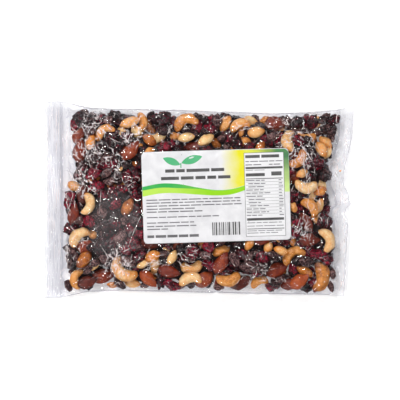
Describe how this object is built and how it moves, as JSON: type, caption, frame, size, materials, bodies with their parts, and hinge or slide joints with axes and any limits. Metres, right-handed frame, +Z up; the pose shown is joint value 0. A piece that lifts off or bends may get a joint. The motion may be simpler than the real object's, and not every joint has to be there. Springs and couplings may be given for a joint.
{
  "type": "clear sealed bag of trail mix",
  "caption": "Clear film pillow bag of mixed nuts and dried fruit, crimp-sealed at both ends and lying flat, with a plain printed label on its upper side.",
  "frame": {"origin": "on the floor under the middle of the bag's box", "axes": "+X along the bag from its left seal to its right one as the label is read, +Y towards the label's top edge, +Z up"},
  "size_m": [0.2849, 0.182, 0.0286],
  "materials": {
    "filled_film": "clear film over dark fruit and tan nuts",
    "label_paper": "coated white paper with flat print"
  },
  "bodies": {
    "root": {"bag": "filled_film", "label": "label_paper"}
  },
  "joints": []
}
